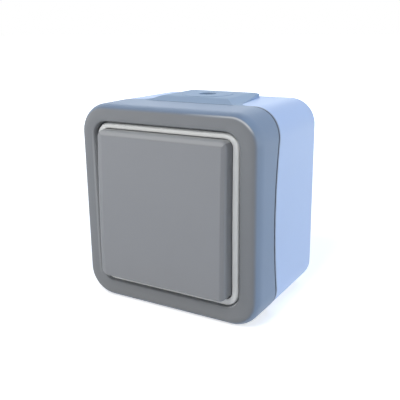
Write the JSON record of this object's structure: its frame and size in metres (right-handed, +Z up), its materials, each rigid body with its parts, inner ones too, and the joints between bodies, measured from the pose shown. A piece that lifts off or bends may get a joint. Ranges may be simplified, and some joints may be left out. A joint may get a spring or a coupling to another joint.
{
  "type": "surface mounted light switch",
  "caption": "Weatherproof surface mounted light switch: rocker in a trim ring and soft-edged frame, on a drafted wall box with a top cable gland.",
  "frame": {"origin": "centre of the back face that lies on the wall", "axes": "+Z up, -Y out of the wall towards the user, +X to the user's right"},
  "size_m": [0.076, 0.0558, 0.079],
  "materials": {
    "box_plastic": "satin moulded plastic, pale blue-grey",
    "frame_plastic": "satin moulded plastic, mid grey",
    "gland_rubber": "soft moulded rubber, mid grey",
    "seal_rubber": "dark sealing rubber",
    "ring_plastic": "satin moulded plastic, off-white",
    "rocker_plastic": "fine grained moulded plastic, mid grey",
    "inner_plastic": "plain moulded plastic",
    "plated_steel": "zinc plated",
    "contact_brass": "bare stamped brass"
  },
  "bodies": {
    "case": {"rear_box": "box_plastic", "cable_gland": "gland_rubber", "box_gasket": "seal_rubber", "front_frame": "frame_plastic", "frame_screws": "plated_steel", "trim_ring": "ring_plastic", "splash_seal": "seal_rubber", "support_plate": "plated_steel", "support_screws": "plated_steel", "switch_cover": "inner_plastic", "switch_housing": "inner_plastic", "case_screw": "plated_steel", "upper_contact": "contact_brass", "lower_contact": "contact_brass", "common_contact": "contact_brass", "terminal_clamps": "contact_brass", "terminal_screws": "plated_steel"},
    "rocker": {"rocker_button": "rocker_plastic", "rocker_cradle": "inner_plastic"},
    "plunger": {"plunger": "inner_plastic", "plunger_spring": "plated_steel"},
    "seesaw": {"moving_contact": "contact_brass"}
  },
  "joints": [
    {"name": "rocker_tilt", "type": "hinge", "parent": "case", "child": "rocker", "pos_m": [0, -0.0465, 0.00075], "axis": [1, 0, 0], "range_deg": [0, 3.6]},
    {"name": "contact_tilt", "type": "hinge", "parent": "case", "child": "seesaw", "pos_m": [0, -0.02488, 0.00075], "axis": [1, 0, 0], "range_deg": [-10, 0]},
    {"name": "plunger_slide", "type": "slide", "parent": "rocker", "child": "plunger", "axis": [0, -0.9995, 0.0314], "range_m": [0, 0.0008], "stiffness_N_per_m": 400, "springref_m": -0.003, "deforming": ["plunger_spring"]}
  ],
  "couplings": [
    {"joint": "contact_tilt", "follows": "rocker_tilt", "ratio": -2.7778}
  ]
}
